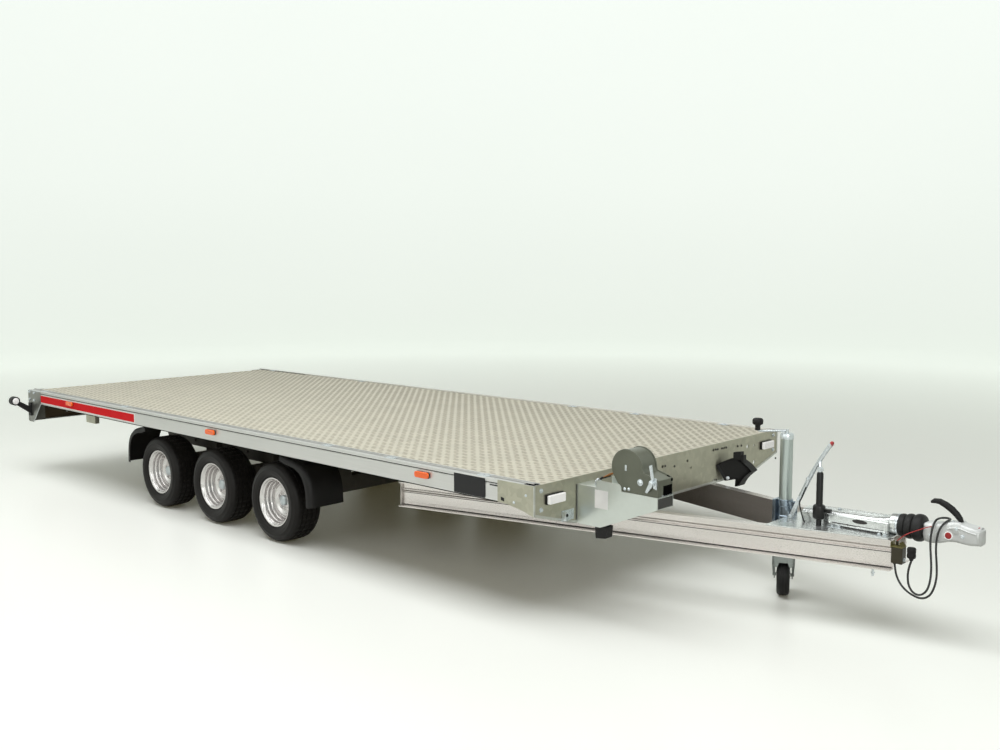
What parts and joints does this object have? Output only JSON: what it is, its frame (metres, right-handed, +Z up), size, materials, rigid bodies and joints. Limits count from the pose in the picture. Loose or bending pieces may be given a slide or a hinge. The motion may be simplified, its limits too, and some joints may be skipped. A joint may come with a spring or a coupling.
{
  "type": "car hauler trailer",
  "caption": "Flat-deck car hauler trailer with wheels under the deck, V drawbar, overrun coupling, jockey wheel and hand winch.",
  "frame": {"origin": "on the ground, under the middle of the whole trailer's length and width", "axes": "+X forward to the coupling, +Y to the trailer's left, +Z up"},
  "size_m": [6.821, 2.4624, 0.882],
  "materials": {
    "galvanised": "hot-dip galvanised, satin",
    "aluminium": "extruded, satin",
    "tread_plate": "embossed tread, satin",
    "underframe": "weathered galvanised, matt",
    "tyre": "matt",
    "rim": "silver paint, satin",
    "black_plastic": "moulded",
    "winch_paint": "dark green paint, gloss",
    "zinc": "zinc plated",
    "cast": "cast, pale grey",
    "black_paint": "black, satin",
    "rubber": "matt",
    "amber_lens": "lens",
    "white_lens": "lens",
    "red_lens": "lens",
    "red_cable": "sheathed"
  },
  "bodies": {
    "frame": {"axle_front": "underframe", "axle_middle": "underframe", "axle_rear": "underframe", "bellows": "rubber", "brake_lever": "galvanised", "breakaway_cable": "red_cable", "cable_box": "black_plastic", "coupling_handle": "black_paint", "coupling_head": "cast", "cross_members": "underframe", "deck_plate": "tread_plate", "drawbar_beams": "galvanised", "front_lamps": "white_lens", "front_panel": "galvanised", "gas_strut": "black_paint", "jockey_clamp": "zinc", "jockey_crank": "zinc", "jockey_tube": "zinc", "light_board": "galvanised", "mudguards": "black_plastic", "outline_lamps": "rubber", "overrun_housing": "galvanised", "overrun_tube": "zinc", "rail_blocks": "galvanised", "rear_gussets": "galvanised", "rear_lamps": "red_lens", "side_beams": "underframe", "side_lamps": "amber_lens", "side_rails": "aluminium", "tow_cable": "rubber", "tow_plug": "black_plastic", "wheel_chock": "black_plastic", "winch_body": "winch_paint", "winch_stand": "galvanised"},
    "wheel_front_left": {"rim_front_left": "rim", "tyre_front_left": "tyre"},
    "wheel_front_right": {"rim_front_right": "rim", "tyre_front_right": "tyre"},
    "wheel_middle_left": {"rim_middle_left": "rim", "tyre_middle_left": "tyre"},
    "wheel_middle_right": {"rim_middle_right": "rim", "tyre_middle_right": "tyre"},
    "wheel_rear_left": {"rim_rear_left": "rim", "tyre_rear_left": "tyre"},
    "wheel_rear_right": {"rim_rear_right": "rim", "tyre_rear_right": "tyre"},
    "jockey_leg": {"jockey_leg": "zinc"},
    "jockey_fork": {"jockey_fork": "galvanised"},
    "jockey_wheel": {"jockey_wheel": "rubber"}
  },
  "joints": [
    {"name": "wheel_front_left_spin", "type": "hinge", "parent": "frame", "child": "wheel_front_left", "pos_m": [-0.1845, 0.9285, 0.23425], "axis": [0, 1, 0], "continuous": true},
    {"name": "wheel_front_right_spin", "type": "hinge", "parent": "frame", "child": "wheel_front_right", "pos_m": [-0.1845, -0.9285, 0.23425], "axis": [0, 1, 0], "continuous": true},
    {"name": "wheel_middle_left_spin", "type": "hinge", "parent": "frame", "child": "wheel_middle_left", "pos_m": [-0.8335, 0.9285, 0.23425], "axis": [0, 1, 0], "continuous": true},
    {"name": "wheel_middle_right_spin", "type": "hinge", "parent": "frame", "child": "wheel_middle_right", "pos_m": [-0.8335, -0.9285, 0.23425], "axis": [0, 1, 0], "continuous": true},
    {"name": "wheel_rear_left_spin", "type": "hinge", "parent": "frame", "child": "wheel_rear_left", "pos_m": [-1.4825, 0.9285, 0.23425], "axis": [0, 1, 0], "continuous": true},
    {"name": "wheel_rear_right_spin", "type": "hinge", "parent": "frame", "child": "wheel_rear_right", "pos_m": [-1.4825, -0.9285, 0.23425], "axis": [0, 1, 0], "continuous": true},
    {"name": "jockey_leg_slide", "type": "slide", "parent": "frame", "child": "jockey_leg", "axis": [0, 0, 1], "range_m": [0, 0.145]},
    {"name": "jockey_swivel", "type": "hinge", "parent": "jockey_leg", "child": "jockey_fork", "pos_m": [2.4755, 0.06, 0.2], "axis": [0, 0, 1], "continuous": true},
    {"name": "jockey_wheel_spin", "type": "hinge", "parent": "jockey_fork", "child": "jockey_wheel", "pos_m": [2.44854, 0.11135, 0.1], "axis": [-0.8854, -0.4648, 0], "continuous": true}
  ]
}
